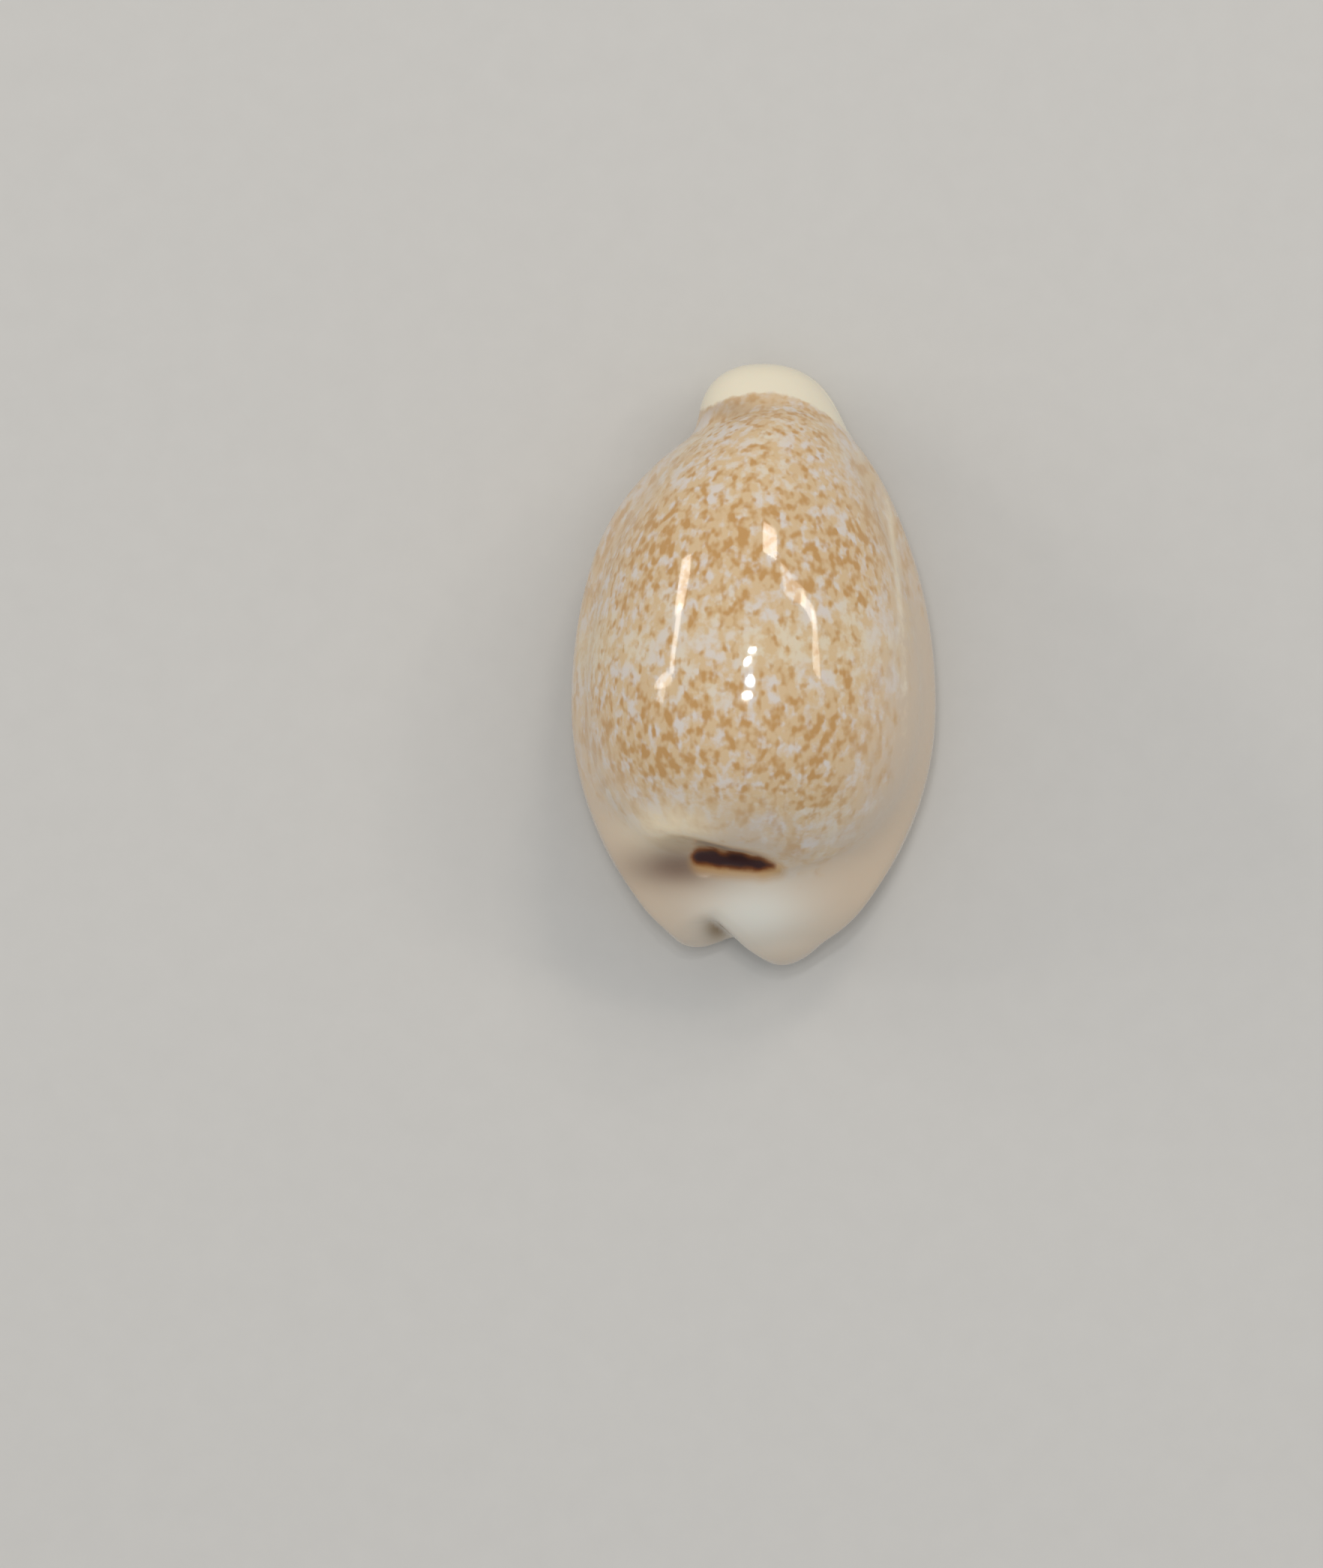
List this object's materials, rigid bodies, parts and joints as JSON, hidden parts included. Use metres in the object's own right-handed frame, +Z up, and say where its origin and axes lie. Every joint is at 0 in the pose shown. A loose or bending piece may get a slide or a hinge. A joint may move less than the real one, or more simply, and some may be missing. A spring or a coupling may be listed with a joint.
{
  "type": "cowrie shell",
  "caption": "Small glossy egg-shaped cowrie shell with a speckled back, a toothed slit along its base and a beak at each end.",
  "frame": {"origin": "under the middle of the shell, on the plane that its base rests on", "axes": "+Z up through the back, +Y towards the anterior end, +X towards the outer lip"},
  "size_m": [0.0134, 0.022, 0.0106],
  "materials": {
    "porcelain": "natural enamel-like gloss, cream with ochre-brown freckles over the back"
  },
  "bodies": {
    "root": {"shell": "porcelain"}
  },
  "joints": []
}
